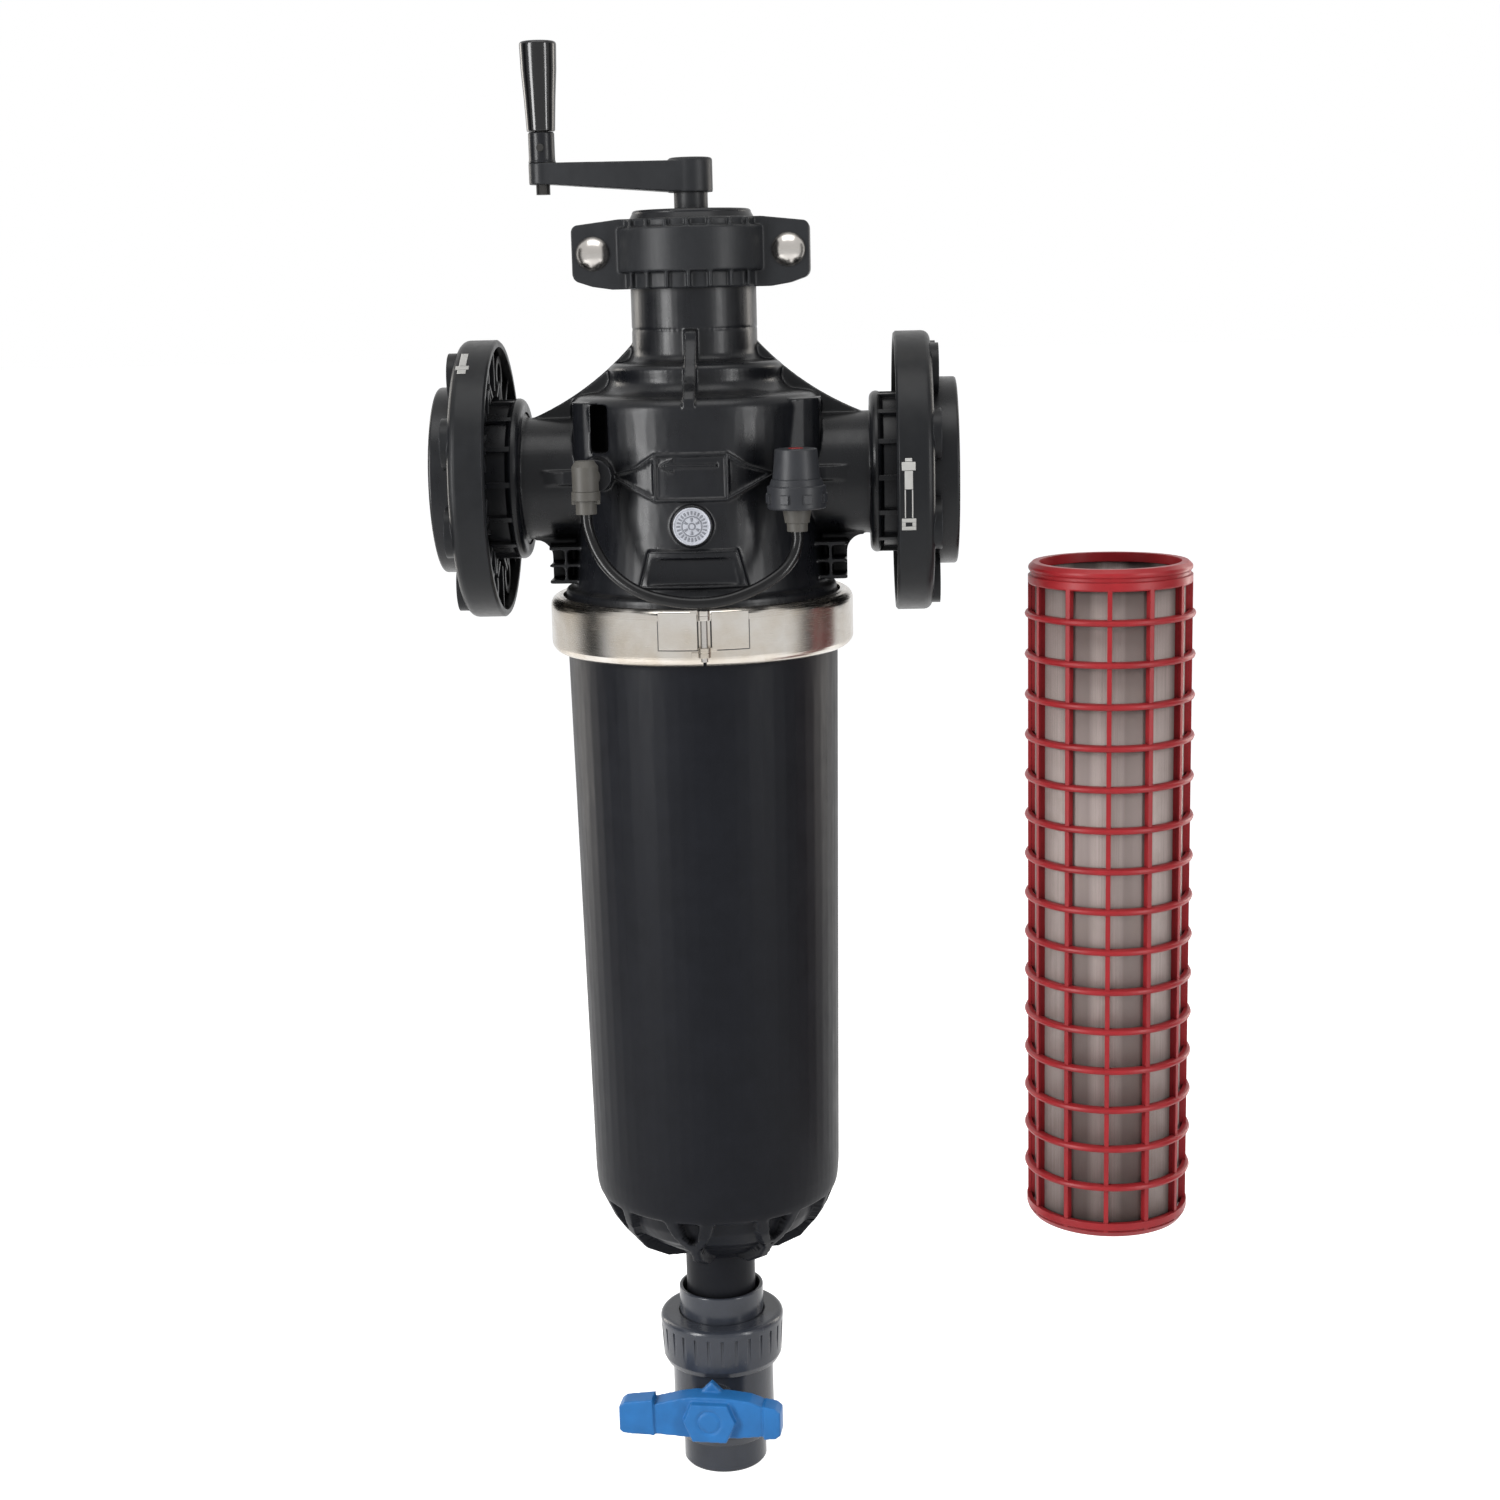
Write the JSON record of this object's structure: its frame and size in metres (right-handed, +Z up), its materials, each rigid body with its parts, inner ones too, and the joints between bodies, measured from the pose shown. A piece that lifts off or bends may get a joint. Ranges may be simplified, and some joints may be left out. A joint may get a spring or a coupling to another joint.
{
  "type": "inline screen filter",
  "caption": "Upright flanged in-line water screen filter with hand-cranked cleaning brush, band-clamped bowl, drain ball valve, pressure indicator and a spare screen cartridge beside it.",
  "frame": {"origin": "centre of the inlet flange's bolt circle, on the bolting face of the flange", "axes": "+X out of the inlet along the port axis, +Z up along the vessel towards the crank, -Y the front with the pressure indicator and the valve lever"},
  "size_m": [0.5465, 0.2548, 1.077],
  "materials": {
    "moulded_black": "satin moulded black plastic",
    "bowl_black": "smooth satin black plastic",
    "coupling_grey": "satin dark grey moulded plastic",
    "grip_black": "polished black",
    "stainless": "brushed stainless",
    "steel": "plain bright",
    "rubber": "matt",
    "bush_plastic": "natural acetal",
    "brush_plastic": "grey moulded plastic",
    "bristle": "nylon bristle",
    "screen_red": "semi-gloss red moulded plastic",
    "screen_mesh": "fine woven stainless wire",
    "pvc_grey": "semi-gloss grey pipe plastic",
    "seat_white": "white valve seat",
    "handle_blue": "semi-gloss blue",
    "fitting_grey": "matt grey-brown",
    "indicator_black": "satin dark plastic",
    "button_red": "red",
    "hose_black": "smooth black tube",
    "badge_grey": "light grey"
  },
  "bodies": {
    "root": {"filter_head": "moulded_black", "lid": "moulded_black", "coupling_front": "coupling_grey", "coupling_rear": "coupling_grey", "coupling_gasket": "rubber", "coupling_bolts": "steel", "coupling_nuts": "steel", "gland_bush": "bush_plastic", "gland_seals": "rubber", "foot_bearing": "bush_plastic", "screen_frame": "screen_red", "screen_mesh": "screen_mesh", "screen_seals": "rubber", "spare_screen_frame": "screen_red", "spare_screen_mesh": "screen_mesh", "inlet_flange": "moulded_black", "inlet_stub": "moulded_black", "inlet_union_nut": "moulded_black", "inlet_gasket": "rubber", "outlet_flange": "moulded_black", "outlet_stub": "moulded_black", "outlet_union_nut": "moulded_black", "outlet_gasket": "rubber", "clamp_left": "stainless", "clamp_right": "stainless", "clamp_hinge_pin": "steel", "clamp_bolt": "steel", "clamp_nut": "steel", "bowl_seal": "rubber", "bowl": "bowl_black", "union_collar": "pvc_grey", "union_nut": "pvc_grey", "union_seal": "rubber", "valve_body": "pvc_grey", "seat_carrier": "pvc_grey", "ball_seats": "seat_white", "stem_seal": "rubber", "elbow_fitting": "fitting_grey", "elbow_nut": "fitting_grey", "indicator_base": "indicator_black", "indicator_cap": "indicator_black", "indicator_nut": "fitting_grey", "sensing_tube": "hose_black", "badge": "badge_grey"},
    "crank": {"drive_shaft": "coupling_grey", "shaft_retainer": "steel", "crank_arm": "coupling_grey", "crank_screw": "steel", "grip_spindle": "steel", "grip_sleeve": "moulded_black", "sleeve_screw": "steel", "brush_carrier": "brush_plastic", "brush_strips": "bristle"},
    "grip": {"grip": "grip_black"},
    "valve_core": {"valve_ball": "pvc_grey", "valve_stem": "pvc_grey", "valve_handle": "handle_blue"},
    "indicator_button": {"indicator_button": "button_red"}
  },
  "joints": [
    {"name": "crank_turn", "type": "hinge", "parent": "root", "child": "crank", "pos_m": [-0.173, 0, 0.2], "axis": [0, 0, 1], "continuous": true},
    {"name": "grip_spin", "type": "hinge", "parent": "crank", "child": "grip", "pos_m": [-0.278, 0, 0.27], "axis": [0, 0, 1], "continuous": true},
    {"name": "drain_valve", "type": "hinge", "parent": "root", "child": "valve_core", "pos_m": [-0.173, 0, -0.708], "axis": [-0.1045, -0.9945, 0], "range_deg": [0, 90]},
    {"name": "indicator_pop", "type": "slide", "parent": "root", "child": "indicator_button", "axis": [0, 0, 1], "range_m": [0, 0.006]}
  ]
}
